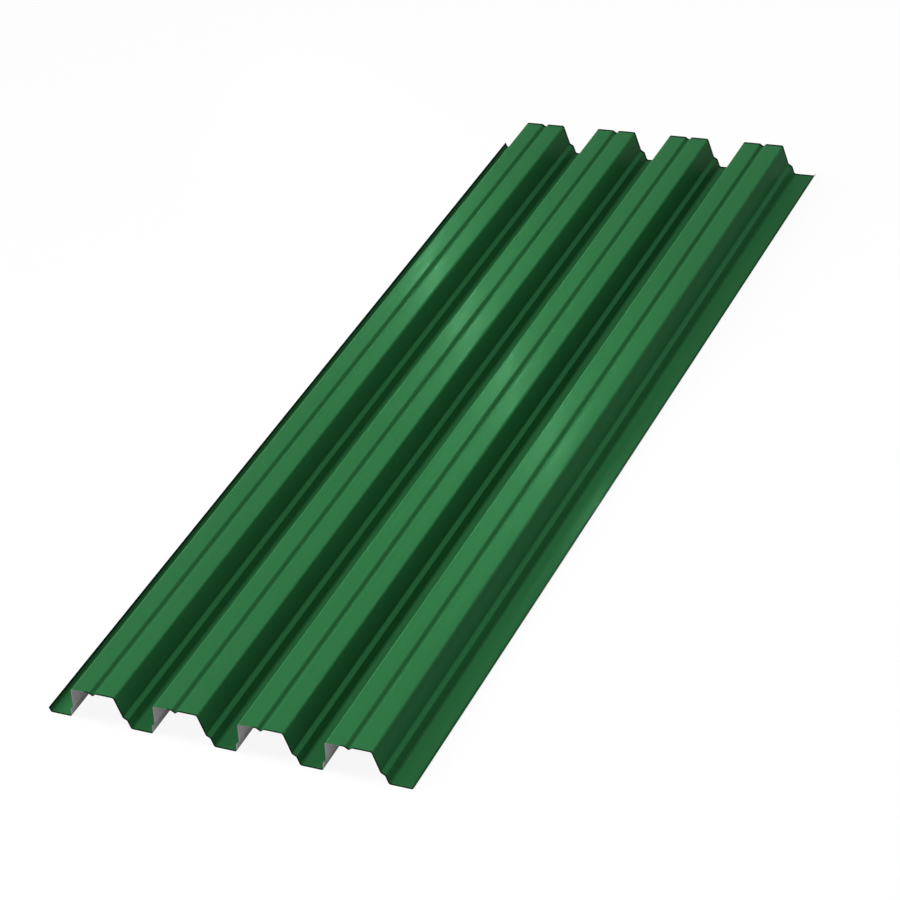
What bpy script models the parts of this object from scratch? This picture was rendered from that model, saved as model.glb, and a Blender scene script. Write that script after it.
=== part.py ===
"""Profiled steel sheet: one roll-formed sheet of trapezoidal section, lying with its crests up.

Metres, +Z up. X runs across the sheet and Y along the rolling direction. The origin is under the
middle of the sheet, on the plane that its troughs rest on. Widths and heights of the section are
given to the sharp folds of the sheet's middle surface, and OVERALL_HEIGHT is over the outside.
"""

import math

import bmesh
import bpy
from mathutils import Vector

# The blank: a strip of coil, cut to length
SHEET_LENGTH = 2.100
SHEET_THICKNESS = 0.0008

# Crests, the wide upper flanges, and troughs, the narrow lower ones
CREST_COUNT = 4
PITCH = 0.1875
OVERALL_HEIGHT = 0.075
CREST_WIDTH = 0.0975
TROUGH_WIDTH = 0.049

# Stiffening groove along the middle of each crest
GROOVE_WIDTH = 0.016
GROOVE_DEPTH = 0.0065

# Stiffening step low in each web, where the web jogs sideways
STEP_HEIGHT = 0.020
STEP_DROP = 0.006
STEP_RUN = 0.0086

# Edge flanges, which lap over the neighbouring sheets, each with a lip along its edge
LEFT_FLANGE_WIDTH = 0.0480
LEFT_LIP_HEIGHT = 0.011
LEFT_LIP_RUN = 0.0030
RIGHT_FLANGE_WIDTH = 0.0480
RIGHT_LIP_HEIGHT = 0.0045
RIGHT_LIP_RUN = 0.0045

# Radii of the folds, to the middle surface
FOLD_RADIUS = 0.0045
STEP_RADIUS = 0.0035
GROOVE_RADIUS = 0.0025
LIP_RADIUS = 0.0020
FOLD_SEGMENTS = 5

COATING_COLOUR = (0.014, 0.148, 0.041, 1.0)
COATING_ROUGHNESS = 0.40


def half_crest():
    """Folds from a crest's groove down to the foot of its right web, as (x, z, radius)."""
    top = OVERALL_HEIGHT - SHEET_THICKNESS / 2
    foot = SHEET_THICKNESS / 2
    web_run = (PITCH - CREST_WIDTH - TROUGH_WIDTH) / 2
    lean = (web_run - STEP_RUN) / (top - foot - STEP_DROP)
    edge = CREST_WIDTH / 2
    step_foot = edge + web_run - lean * STEP_HEIGHT
    return [
        (GROOVE_WIDTH / 2, top, GROOVE_RADIUS),
        (edge, top, FOLD_RADIUS),
        (step_foot - STEP_RUN, foot + STEP_HEIGHT + STEP_DROP, STEP_RADIUS),
        (step_foot, foot + STEP_HEIGHT, STEP_RADIUS),
        (edge + web_run, foot, FOLD_RADIUS),
    ]


def crest(centre):
    """Folds of one crest with its groove and its two webs, left to right."""
    right = half_crest()
    left = [(-x, z, radius) for x, z, radius in reversed(right)]
    groove = (0.0, OVERALL_HEIGHT - SHEET_THICKNESS / 2 - GROOVE_DEPTH, GROOVE_RADIUS)
    return [(centre + x, z, radius) for x, z, radius in [*left, groove, *right]]


def section():
    """The folds of the whole sheet between its two free edges, left to right, centred on X."""
    crests = [fold for index in range(CREST_COUNT) for fold in crest(index * PITCH)]
    floor = SHEET_THICKNESS / 2
    left = crests[0][0] - LEFT_FLANGE_WIDTH
    right = crests[-1][0] + RIGHT_FLANGE_WIDTH
    folds = [
        (left - LEFT_LIP_RUN, floor + LEFT_LIP_HEIGHT, 0.0),
        (left, floor, LIP_RADIUS),
        *crests,
        (right, floor, LIP_RADIUS),
        (right + RIGHT_LIP_RUN, floor + RIGHT_LIP_HEIGHT, 0.0),
    ]
    middle = (folds[0][0] + folds[-1][0]) / 2
    return [(x - middle, z, radius) for x, z, radius in folds]


def fold_width(before, fold, after, radius):
    """How far from a sharp fold its rounding starts, for a fold of that radius."""
    turn = (fold - before).angle(after - fold)
    return radius * math.tan(turn / 2)


def coated_steel():
    """Leaf-green coil coating on steel."""
    material = bpy.data.materials.new("coated_steel")
    material.use_nodes = True
    shader = material.node_tree.nodes["Principled BSDF"]
    shader.inputs["Base Color"].default_value = COATING_COLOUR
    shader.inputs["Roughness"].default_value = COATING_ROUGHNESS
    shader.inputs["Metallic"].default_value = 0.0
    return material


def profiled_sheet():
    """The sheet: its section as a chain of edges, pulled along Y, folded round and thickened."""
    folds = section()
    bm = bmesh.new()
    chain = [bm.verts.new((x, -SHEET_LENGTH / 2, z)) for x, z, radius in folds]
    widths = {}
    for before, fold, after, (x, z, radius) in zip(chain, chain[1:], chain[2:], folds[1:]):
        widths[fold] = fold_width(before.co, fold.co, after.co, radius)
    widest = max(widths.values())
    weights = bm.edges.layers.float.new("bevel_weight_edge")
    edges = [bm.edges.new(pair) for pair in zip(chain, chain[1:])]
    pulled = bmesh.ops.extrude_edge_only(bm, edges=edges)["geom"]
    far_end = [item for item in pulled if isinstance(item, bmesh.types.BMVert)]
    bmesh.ops.translate(bm, verts=far_end, vec=(0.0, SHEET_LENGTH, 0.0))
    for fold, width in widths.items():
        ridge = next(edge for edge in fold.link_edges if edge.other_vert(fold).co.y > 0.0)
        ridge[weights] = width / widest
    bmesh.ops.recalc_face_normals(bm, faces=bm.faces)
    mesh = bpy.data.meshes.new("profiled_sheet")
    bm.to_mesh(mesh)
    bm.free()
    mesh.shade_smooth()
    sheet = bpy.data.objects.new("profiled_sheet", mesh)
    sheet.data.materials.append(coated_steel())

    rounding = sheet.modifiers.new("folds", "BEVEL")
    rounding.limit_method = "WEIGHT"
    rounding.offset_type = "OFFSET"
    rounding.width = widest
    rounding.segments = FOLD_SEGMENTS
    rounding.use_clamp_overlap = False

    wall = sheet.modifiers.new("thickness", "SOLIDIFY")
    wall.thickness = SHEET_THICKNESS
    wall.offset = 0.0
    wall.use_even_offset = True
    return sheet


def main():
    for item in list(bpy.data.objects):
        bpy.data.objects.remove(item, do_unlink=True)
    collection = bpy.data.collections.new("profiled_steel_sheet")
    bpy.context.scene.collection.children.link(collection)
    collection.objects.link(profiled_sheet())


main()
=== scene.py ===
import math

import bmesh
import bpy
from mathutils import Matrix, Quaternion, Vector


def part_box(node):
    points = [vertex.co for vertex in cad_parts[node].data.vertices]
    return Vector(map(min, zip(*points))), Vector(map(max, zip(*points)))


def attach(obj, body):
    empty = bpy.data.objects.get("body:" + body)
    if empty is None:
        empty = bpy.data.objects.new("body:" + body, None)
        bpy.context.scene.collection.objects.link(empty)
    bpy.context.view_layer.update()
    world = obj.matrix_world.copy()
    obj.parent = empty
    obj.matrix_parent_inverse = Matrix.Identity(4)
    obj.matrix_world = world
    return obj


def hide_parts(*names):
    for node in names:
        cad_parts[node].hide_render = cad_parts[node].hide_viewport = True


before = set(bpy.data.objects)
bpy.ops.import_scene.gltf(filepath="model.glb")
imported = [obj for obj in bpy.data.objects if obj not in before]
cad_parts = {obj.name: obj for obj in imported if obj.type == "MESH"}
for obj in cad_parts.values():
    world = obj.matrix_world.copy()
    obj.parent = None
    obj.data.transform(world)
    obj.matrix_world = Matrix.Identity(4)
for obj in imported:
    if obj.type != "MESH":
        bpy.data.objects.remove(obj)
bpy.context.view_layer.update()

# The rolled strip: galvanised steel coil, coated on both sides before it is formed. A line of
# rolls folds it lengthwise into grooved crests, stepped webs and narrow troughs, with an
# upturned lip along each edge, and a shear then cuts it to length.
low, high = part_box("profiled_sheet")
GAUGE = 0.0008
CREST_COUNT = 4
PITCH = 0.1875
CREST_WIDTH = 0.0975
TROUGH_WIDTH = 0.049
GROOVE_WIDTH = 0.016
GROOVE_DEPTH = 0.0065
STEP_HEIGHT = 0.020
STEP_DROP = 0.006
STEP_RUN = 0.0086
LEFT_FLANGE = 0.0480
LEFT_LIP = (-0.0030, 0.011)
RIGHT_FLANGE = 0.0480
RIGHT_LIP = (0.0045, 0.0045)
FOLD_RADIUS = 0.0045
STEP_RADIUS = 0.0035
GROOVE_RADIUS = 0.0025
LIP_RADIUS = 0.0020
FOLD_SEGMENTS = 10
BURR_WIDTH = 0.00012
BURR_SEGMENTS = 2
BURR_ANGLE = math.radians(50)
TOUCHING = 0.00001
BACK_FINISH = 1
EDGE_FINISH = 2

roof = high.z - GAUGE / 2
floor_line = low.z + GAUGE / 2
groove_edge = GROOVE_WIDTH / 2
crest_edge = CREST_WIDTH / 2
web_foot = (PITCH - TROUGH_WIDTH) / 2
web_lean = (web_foot - crest_edge - STEP_RUN) / (roof - floor_line - STEP_DROP)
step_foot = web_foot - web_lean * STEP_HEIGHT
step_top = step_foot - STEP_RUN
half_crest = [
    (0.0, roof - GROOVE_DEPTH, GROOVE_RADIUS),
    (groove_edge, roof, GROOVE_RADIUS),
    (crest_edge, roof, FOLD_RADIUS),
    (step_top, floor_line + STEP_HEIGHT + STEP_DROP, STEP_RADIUS),
    (step_foot, floor_line + STEP_HEIGHT, STEP_RADIUS),
    (web_foot, floor_line, FOLD_RADIUS),
]

strip = bmesh.new()
fold_radius = strip.verts.layers.float.new("fold_radius")


def strip_fold(x, z, radius, before=None):
    """A fold line's near end, joined to the fold before it."""
    fold = strip.verts.new((x, low.y, z))
    fold[fold_radius] = radius
    if before:
        strip.edges.new((before, fold))
    return fold


fold = None
for x, z, radius in half_crest:
    fold = strip_fold(x, z, radius, fold)
bmesh.ops.mirror(strip, geom=strip.verts[:] + strip.edges[:], matrix=Matrix.Identity(4),
                 merge_dist=TOUCHING, axis="X")
first_crest = strip.verts[:] + strip.edges[:]
for crest in range(1, CREST_COUNT):
    copied = bmesh.ops.duplicate(strip, geom=first_crest)["geom"]
    copied_folds = [item for item in copied if isinstance(item, bmesh.types.BMVert)]
    bmesh.ops.translate(strip, verts=copied_folds, vec=(crest * PITCH, 0.0, 0.0))

feet = [fold for fold in strip.verts if fold.co.z < floor_line + TOUCHING]
feet.sort(key=lambda foot: foot.co.x)
for right_foot, left_foot in zip(feet[1:-1:2], feet[2:-1:2]):
    strip.edges.new((right_foot, left_foot))
flanges = [(feet[0], -LEFT_FLANGE, LEFT_LIP), (feet[-1], RIGHT_FLANGE, RIGHT_LIP)]
for foot, reach, (lip_run, lip_height) in flanges:
    edge = strip_fold(foot.co.x + reach, floor_line, LIP_RADIUS, foot)
    strip_fold(edge.co.x + lip_run, floor_line + lip_height, 0.0, edge)

lip_tips = [fold.co.x for fold in strip.verts if not fold[fold_radius]]
first_crest_line = -sum(lip_tips) / 2
bmesh.ops.translate(strip, verts=strip.verts, vec=(first_crest_line, 0.0, 0.0))
near_end = strip.verts[:]
pulled = bmesh.ops.extrude_edge_only(strip, edges=strip.edges)["geom"]
far_end = [item for item in pulled if isinstance(item, bmesh.types.BMVert)]
bmesh.ops.translate(strip, verts=far_end, vec=(0.0, high.y - low.y, 0.0))


def fold_width(fold):
    """How far from a sharp fold its rounding starts, for a fold of its radius."""
    joined = [edge.other_vert(fold) for edge in fold.link_edges]
    before, after = (other for other in joined if other.co.y < 0.0)
    turn = (fold.co - before.co).angle(after.co - fold.co)
    return fold[fold_radius] * math.tan(turn / 2)


widths = {fold: fold_width(fold) for fold in near_end if fold[fold_radius]}
widest = max(widths.values())
fold_share = strip.edges.layers.float.new("bevel_weight_edge")
for fold, width in widths.items():
    ridge = next(edge for edge in fold.link_edges if edge.other_vert(fold).co.y > 0.0)
    ridge[fold_share] = width / widest
bmesh.ops.recalc_face_normals(strip, faces=strip.faces)
if sum(face.normal.z * face.calc_area() for face in strip.faces) < 0.0:
    bmesh.ops.reverse_faces(strip, faces=strip.faces)

mesh = bpy.data.meshes.new("sheet")
strip.to_mesh(mesh)
strip.free()
mesh.shade_smooth()
sheet = bpy.data.objects.new("sheet", mesh)
bpy.context.scene.collection.objects.link(sheet)

rolled = sheet.modifiers.new("rolled folds", "BEVEL")
rolled.limit_method = "WEIGHT"
rolled.offset_type = "OFFSET"
rolled.width = widest
rolled.segments = FOLD_SEGMENTS
rolled.use_clamp_overlap = False

wall = sheet.modifiers.new("gauge", "SOLIDIFY")
wall.thickness = GAUGE
wall.offset = 0.0
wall.use_even_offset = True
wall.material_offset = BACK_FINISH
wall.material_offset_rim = EDGE_FINISH

burr = sheet.modifiers.new("sheared edges", "BEVEL")
burr.width = BURR_WIDTH
burr.segments = BURR_SEGMENTS
burr.limit_method = "ANGLE"
burr.angle_limit = BURR_ANGLE
burr.harden_normals = True

# Top coat: a film of green polyester, 25 microns thick, rolled on over the primer. Its tone drifts
# a little, it has fine lines along the rolling direction, and its skin is a little glossier. Painted
# highlights lighten it over the outer folds, painted shade darkens it in the inner ones, and it is
# painted nearly black along the edges.
TOP_GREEN = (0.0263, 0.1525, 0.0508)
TOP_REFLECTION = 0.0156
TOP_ROUGHNESS = (0.31, 0.35)
SKIN_SHARE = 0.0164
SKIN_ROUGHNESS = 0.145

# Spots and streaks, by their size across the strip and along it, and the tones they range over
GREEN_DRIFT = (0.18, 0.7)
GREEN_DRIFT_TONES = (0.97, 1.03)
GREEN_LINES = (0.0035, 0.9)
GREEN_LINE_TONES = (0.975, 1.025)
GLOSS_SPOTS = (0.0012, 0.0016)
BUCKLES = (0.09, 0.3)
BUCKLE_DEPTH = 0.0003
PEEL = (0.002, 0.003)
PEEL_DEPTH = 0.00001

# How much fine detail a noise has, and the values between which most or nearly all of it lies
SMOOTH = 1.0
PLAIN = 2.0
MOST_OF_IT = (0.35, 0.65)
NEARLY_ALL = (0.3, 0.7)

# Painted highlights and painted shade beside each fold: how light the coat is painted, by how far it is
# past the fold, seen from the groove
FOLD_LIGHT_AND_SHADE = [
    (0.0, [(0.0, 1.25), (0.0015, 1.0), (0.0035, 0.70)]),
    (groove_edge, [(-0.0010, 1.0), (0.0010, 1.08), (0.0035, 1.0)]),
    (crest_edge, [(-0.00425, 1.0), (-0.00155, 1.27), (0.00025, 1.12), (0.00205, 0.90), (0.00425, 1.0)]),
    (step_top, [(-0.0020, 1.0), (-0.0006, 0.88), (0.0010, 1.0)]),
    (step_foot, [(-0.0008, 1.0), (0.0006, 0.92), (0.0017, 1.0)]),
    (web_foot, [(-0.00075, 0.97), (0.00075, 0.80), (0.00225, 0.65), (0.00525, 1.0)]),
]

# The coat is painted nearly black in a band along each edge: where that band starts and where it is
# full, as distances from each edge. At the near end the band is left out between the left web's foot
# and the groove, given as distances from the crest's middle.
EDGE_BAND_GREEN = (0.0030, 0.0150, 0.0060)
FAR_MARGIN = (0.0068, 0.00476)
NEAR_MARGIN = (0.0036, 0.0018)
LEFT_LIP_MARGIN = (0.0026, 0.0013)
RIGHT_LIP_MARGIN = (0.0066, 0.0047)
UNDARKENED_FROM = (-0.0675, -0.0700)
UNDARKENED_TO = (-0.020, -0.014)


def wired(tree, kind, feeds, **settings):
    """A node with its settings, its inputs fed with values, sockets or other nodes."""
    node = tree.nodes.new(kind)
    for setting, value in settings.items():
        setattr(node, setting, value)
    for name, feed in feeds.items():
        if isinstance(feed, bpy.types.Node):
            feed = feed.outputs[0]
        if isinstance(feed, bpy.types.NodeSocket):
            tree.links.new(feed, node.inputs[name])
        else:
            node.inputs[name].default_value = feed
    return node


def sums(tree, operation, *terms):
    """A math node of that operation on its terms."""
    return wired(tree, "ShaderNodeMath", dict(enumerate(terms)), operation=operation)


def eased(tree, value, start, end, low_end=0.0, high_end=1.0, easing="SMOOTHSTEP"):
    """The value's way from start to end, turned into a way from low_end to high_end."""
    ends = {"From Min": start, "From Max": end, "To Min": low_end, "To Max": high_end}
    return wired(tree, "ShaderNodeMapRange", {"Value": value, **ends}, interpolation_type=easing)


def spots(tree, size, detail=PLAIN):
    """Noise with spots of that size across the strip and along it."""
    across, along = size
    place = wired(tree, "ShaderNodeTexCoord", {}).outputs["Object"]
    scale = (1.0 / across, 1.0 / along, 1.0 / across)
    stretched = wired(tree, "ShaderNodeMapping", {"Vector": place, "Scale": scale})
    return wired(tree, "ShaderNodeTexNoise", {"Vector": stretched, "Scale": 1.0, "Detail": detail})


def varied(tree, size, low_end, high_end, detail=PLAIN, spread=NEARLY_ALL):
    """Spots of that size as values from low_end to high_end, which the noise's spread fills."""
    return eased(tree, spots(tree, size, detail), *spread, low_end, high_end)


def place_on_strip(tree):
    """The place on the strip, split into X, Y and Z."""
    place = wired(tree, "ShaderNodeTexCoord", {}).outputs["Object"]
    return wired(tree, "ShaderNodeSeparateXYZ", {"Vector": place}).outputs


def dark_edge_share(tree, place):
    """1 where the edges are painted dark and 0 between the left web's foot and the groove."""
    from_first_crest = sums(tree, "SUBTRACT", place["X"], first_crest_line)
    from_crest = sums(tree, "WRAP", from_first_crest, PITCH / 2, -PITCH / 2)
    left_of_it = eased(tree, from_crest, *UNDARKENED_FROM)
    right_of_it = eased(tree, from_crest, *UNDARKENED_TO)
    return sums(tree, "MAXIMUM", left_of_it, right_of_it)


def edge_margin(tree, across, edge, margin):
    """1 at that edge, and 0 from where its margin starts."""
    distance = sums(tree, "ABSOLUTE", sums(tree, "SUBTRACT", across, edge))
    return eased(tree, distance, *margin)


def blended(tree, share, first, second):
    """The first colour, which turns into the second as the share goes from 0 to 1."""
    share_in, first_in, second_in, colour_out = 0, 6, 7, 2
    feeds = {share_in: share, first_in: first, second_in: second}
    return wired(tree, "ShaderNodeMix", feeds, data_type="RGBA").outputs[colour_out]


def toned(tree, colour, tone):
    """The colour times the tone."""
    return wired(tree, "ShaderNodeVectorMath", {0: colour, "Scale": tone}, operation="SCALE").outputs[0]


def coat(name, colour, reflection, roughness):
    """A material with that colour, level of reflection and roughness, its tree and its shader."""
    material = bpy.data.materials.new(name)
    material.use_nodes = True
    shader = material.node_tree.nodes["Principled BSDF"]
    shader.inputs["Base Color"].default_value = (*colour, 1.0)
    shader.inputs["Specular IOR Level"].default_value = reflection
    shader.inputs["Roughness"].default_value = roughness
    return material, material.node_tree, shader


top_coat, tree, shader = coat("green_top_coat", TOP_GREEN, TOP_REFLECTION, max(TOP_ROUGHNESS))
place = place_on_strip(tree)
from_first_crest = sums(tree, "SUBTRACT", place["X"], first_crest_line)
from_crest = sums(tree, "PINGPONG", from_first_crest, PITCH / 2)
# Painted highlights and painted shade beside the folds, as a ramp across each crest
painted_fold_light = wired(tree, "ShaderNodeValToRGB", {"Fac": sums(tree, "DIVIDE", from_crest, PITCH / 2)})
painted_fold_tones = [(fold + past, tone) for fold, beside in FOLD_LIGHT_AND_SHADE for past, tone in beside]
stops = painted_fold_light.color_ramp.elements
while len(stops) < len(painted_fold_tones):
    stops.new(1.0)
for stop, (reach, tone) in zip(stops, painted_fold_tones):
    stop.position = reach / (PITCH / 2)
    stop.color = (tone, tone, tone, 1.0)
drift = varied(tree, GREEN_DRIFT, *GREEN_DRIFT_TONES)
rolling_lines = varied(tree, GREEN_LINES, *GREEN_LINE_TONES)
# The coat's tone: random drift and rolling lines, times the painted highlights and shade of the folds
tone = sums(tree, "MULTIPLY", sums(tree, "MULTIPLY", drift, rolling_lines), painted_fold_light)
near_margin = edge_margin(tree, place["Y"], low.y, NEAR_MARGIN)
near_dark_band = sums(tree, "MULTIPLY", near_margin, dark_edge_share(tree, place))
far_margin = edge_margin(tree, place["Y"], high.y, FAR_MARGIN)
left_margin = edge_margin(tree, place["X"], low.x, LEFT_LIP_MARGIN)
right_margin = edge_margin(tree, place["X"], high.x, RIGHT_LIP_MARGIN)
end_margins = sums(tree, "MAXIMUM", near_dark_band, far_margin)
lip_margins = sums(tree, "MAXIMUM", left_margin, right_margin)
margins = sums(tree, "MAXIMUM", end_margins, lip_margins)
# The toned green, painted nearly black in the bands along the edges
green = blended(tree, margins, toned(tree, TOP_GREEN, tone), (*EDGE_BAND_GREEN, 1.0))
tree.links.new(green, shader.inputs["Base Color"])
gloss = varied(tree, GLOSS_SPOTS, *TOP_ROUGHNESS, spread=MOST_OF_IT)
tree.links.new(gloss.outputs[0], shader.inputs["Roughness"])
shader.inputs["Coat Weight"].default_value = SKIN_SHARE
shader.inputs["Coat Roughness"].default_value = SKIN_ROUGHNESS
feeds = {"Height": spots(tree, BUCKLES, SMOOTH), "Distance": BUCKLE_DEPTH}
buckles = wired(tree, "ShaderNodeBump", feeds)
feeds = {"Height": spots(tree, PEEL), "Distance": PEEL_DEPTH, "Normal": buckles}
peel = wired(tree, "ShaderNodeBump", feeds)
tree.links.new(peel.outputs[0], shader.inputs["Normal"])

# Back coat: a thin film of grey primer on the underside, matt, with the mottle and the rolling
# lines that a film of 10 microns leaves on galvanised steel.
BACK_GREY = (0.68, 0.66, 0.68)
BACK_REFLECTION = 0.15
BACK_ROUGHNESS = (0.48, 0.66)
GREY_MOTTLE = (0.03, 0.06)
GREY_MOTTLE_TONES = (0.95, 1.05)
GREY_LINES = (0.003, 0.6)
GREY_LINE_TONES = (0.97, 1.03)
MATT_SPOTS = (0.0015, 0.003)
TOOTH = (0.0012, 0.0018)
TOOTH_DEPTH = 0.00001
CLOUDY = 4.0
back_coat, tree, shader = coat("grey_back_coat", BACK_GREY, BACK_REFLECTION, max(BACK_ROUGHNESS))
mottle = varied(tree, GREY_MOTTLE, *GREY_MOTTLE_TONES, CLOUDY)
rolling_lines = varied(tree, GREY_LINES, *GREY_LINE_TONES)
grey = toned(tree, BACK_GREY, sums(tree, "MULTIPLY", mottle, rolling_lines))
tree.links.new(grey, shader.inputs["Base Color"])
matt = varied(tree, MATT_SPOTS, *BACK_ROUGHNESS, spread=MOST_OF_IT)
tree.links.new(matt.outputs[0], shader.inputs["Roughness"])
tooth = wired(tree, "ShaderNodeBump", {"Height": spots(tree, TOOTH), "Distance": TOOTH_DEPTH})
tree.links.new(tooth.outputs[0], shader.inputs["Normal"])

# Sheared edges: steel and zinc, painted nearly black, and grey between the left web's foot and the
# groove, with fine strokes where the shear burnished the steel.
DARK_EDGE_COLOUR = (0.006, 0.016, 0.009)
GREY_EDGE_COLOUR = (0.30, 0.285, 0.29)
SMEAR_REFLECTION = 0.1
SMEAR_METAL = 0.3
SMEAR_ROUGHNESS = 0.6
STROKE_SIZE = (0.0004, 0.0004)
STROKE_SPREAD = (0.45, 0.7)
STROKE_DETAIL = 3.0
STROKE_BRIGHTNESS = 1.6
STROKE_ROUGHNESS = 0.35
sheared_edge, tree, shader = coat("sheared_edge", DARK_EDGE_COLOUR, SMEAR_REFLECTION, SMEAR_ROUGHNESS)
shader.inputs["Metallic"].default_value = SMEAR_METAL
dark_edge = dark_edge_share(tree, place_on_strip(tree))
edge_colour = blended(tree, dark_edge, (*GREY_EDGE_COLOUR, 1.0), (*DARK_EDGE_COLOUR, 1.0))
strokes = varied(tree, STROKE_SIZE, 0.0, 1.0, STROKE_DETAIL, STROKE_SPREAD)
burnish = eased(tree, strokes, 0.0, 1.0, 1.0, STROKE_BRIGHTNESS)
tree.links.new(toned(tree, edge_colour, burnish), shader.inputs["Base Color"])
worn = eased(tree, strokes, 0.0, 1.0, SMEAR_ROUGHNESS, STROKE_ROUGHNESS)
tree.links.new(worn.outputs[0], shader.inputs["Roughness"])

for finish in (top_coat, back_coat, sheared_edge):
    sheet.data.materials.append(finish)
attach(sheet, "root")
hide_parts("profiled_sheet")

# Studio floor: a wide sheet of white paper, a hair below the troughs. The camera sees it as white,
# with the object's shadow kept on it, and the light that it sends up is that of a duller paper.
PAPER_SIZE = 30.0
PAPER_GAP = 0.0003
DULL_WHITE = 0.45
FULL_WHITE = 1.0
GLOW_SHARE = 0.91
paper_sheet = bmesh.new()
bmesh.ops.create_grid(paper_sheet, x_segments=1, y_segments=1, size=PAPER_SIZE / 2)
bmesh.ops.translate(paper_sheet, verts=paper_sheet.verts, vec=(0.0, 0.0, low.z - PAPER_GAP))
mesh = bpy.data.meshes.new("studio_floor")
paper_sheet.to_mesh(mesh)
paper_sheet.free()
floor = bpy.data.objects.new("studio_floor", mesh)
bpy.context.scene.collection.objects.link(floor)


def shown_directly(tree):
    """1 for what the camera sees, also by reflection or through glass, and 0 for light."""
    path = wired(tree, "ShaderNodeLightPath", {}).outputs
    mirrored = sums(tree, "MAXIMUM", path["Is Glossy Ray"], path["Is Transmission Ray"])
    return sums(tree, "MAXIMUM", path["Is Camera Ray"], mirrored)


paper = bpy.data.materials.new("studio_paper")
paper.use_nodes = True
tree = paper.node_tree
tree.nodes.clear()
seen = shown_directly(tree)
white = eased(tree, seen, 0.0, 1.0, DULL_WHITE, FULL_WHITE, "LINEAR")
matt = wired(tree, "ShaderNodeBsdfDiffuse", {"Color": white})
glow = wired(tree, "ShaderNodeEmission", {"Strength": FULL_WHITE})
glow_share = sums(tree, "MULTIPLY", seen, GLOW_SHARE)
whitened = wired(tree, "ShaderNodeMixShader", {0: glow_share, 1: matt, 2: glow})
wired(tree, "ShaderNodeOutputMaterial", {"Surface": whitened})
floor.data.materials.append(paper)

# Studio light: white walls all round, a broad key light low on the left, a weak fill lower still on
# the right, a soft box over the near half of the sheet, and a strip box beyond the far left corner,
# with a grid and a green gel, which the crests mirror.
WALL_LIGHT = 0.24
KEY_TILT = math.radians(-62)
KEY_STRENGTH = 0.68 * math.pi
KEY_SOFTNESS = math.radians(30)
FILL_TILT = math.radians(78)
FILL_STRENGTH = 0.20
FILL_SOFTNESS = math.radians(10)
SOFT_BOX_PLACE = Vector((0.0, -1.2, 4.5))
SOFT_BOX_POWER = 107.0
SOFT_BOX_SIZE = 1.8
STRIP_BOX_PLACE = Vector((-1.105, 1.889, 1.471))
STRIP_BOX_AIM = Vector((0.0, 0.135, 0.075))
STRIP_BOX_AXIS = Vector((0.6067, -0.2247, 0.7625))
STRIP_BOX_POWER = 1.05
STRIP_BOX_SIZE = (2.0, 0.04)
STRIP_BOX_GRID = math.radians(26)
STRIP_BOX_GEL = (0.34, 1.0, 0.53)

world = bpy.data.worlds.new("studio")
world.use_nodes = True
tree = world.node_tree
walls = eased(tree, shown_directly(tree), 0.0, 1.0, WALL_LIGHT, FULL_WHITE, "LINEAR")
tree.links.new(walls.outputs[0], tree.nodes["Background"].inputs["Strength"])
tree.nodes["Background"].inputs["Color"].default_value = (1.0, 1.0, 1.0, 1.0)
bpy.context.scene.world = world


def hang(name, kind, energy, place, aim, long_axis):
    """A lamp at its place, turned towards its aim with its length along the long axis."""
    lamp = bpy.data.lights.new(name, kind)
    lamp.energy = energy
    body = bpy.data.objects.new(name, lamp)
    back = (place - aim).normalized()
    side = (long_axis - long_axis.dot(back) * back).normalized()
    turn = Matrix((side, back.cross(side), back)).transposed()
    body.matrix_world = Matrix.Translation(place) @ turn.to_4x4()
    body.visible_camera = False
    bpy.context.scene.collection.objects.link(body)
    return lamp


along_strip = Vector((0.0, 1.0, 0.0))
across_strip = Vector((1.0, 0.0, 0.0))
suns = [
    ("key", KEY_TILT, KEY_STRENGTH, KEY_SOFTNESS),
    ("fill", FILL_TILT, FILL_STRENGTH, FILL_SOFTNESS),
]
for name, tilt, strength, softness in suns:
    direction = Vector((math.sin(tilt), 0.0, math.cos(tilt)))
    sun = hang(name, "SUN", strength, direction, Vector(), along_strip)
    sun.angle = softness

soft_box = hang("overhead", "AREA", SOFT_BOX_POWER, SOFT_BOX_PLACE, Vector(), across_strip)
soft_box.shape = "DISK"
soft_box.size = SOFT_BOX_SIZE

strip_box = hang("strip", "AREA", STRIP_BOX_POWER, STRIP_BOX_PLACE, STRIP_BOX_AIM, STRIP_BOX_AXIS)
strip_box.shape = "RECTANGLE"
strip_box.size, strip_box.size_y = STRIP_BOX_SIZE
strip_box.spread = STRIP_BOX_GRID
strip_box.color = STRIP_BOX_GEL

# Camera: a long lens above and to the right of the near end, rolled a little.
CAMERA_PLACE = Vector((2.63365, -4.0448, 3.4010))
CAMERA_AIM = Vector((0.01035, -0.1059, 0.0))
CAMERA_ROLL = math.radians(-12.643)
CAMERA_LENS = 110.99
CAMERA_FILM = 36.0
VIEW_AXIS = Vector((0.0, 0.0, 1.0))
camera = bpy.data.cameras.new("camera")
camera.lens = CAMERA_LENS
camera.sensor_width = CAMERA_FILM
camera_body = bpy.data.objects.new("camera", camera)
camera_body.location = CAMERA_PLACE
level = (CAMERA_AIM - CAMERA_PLACE).to_track_quat("-Z", "Y")
camera_body.rotation_mode = "QUATERNION"
camera_body.rotation_quaternion = level @ Quaternion(VIEW_AXIS, CAMERA_ROLL)
bpy.context.scene.collection.objects.link(camera_body)
bpy.context.scene.camera = camera_body
bpy.context.scene.view_settings.view_transform = "Standard"
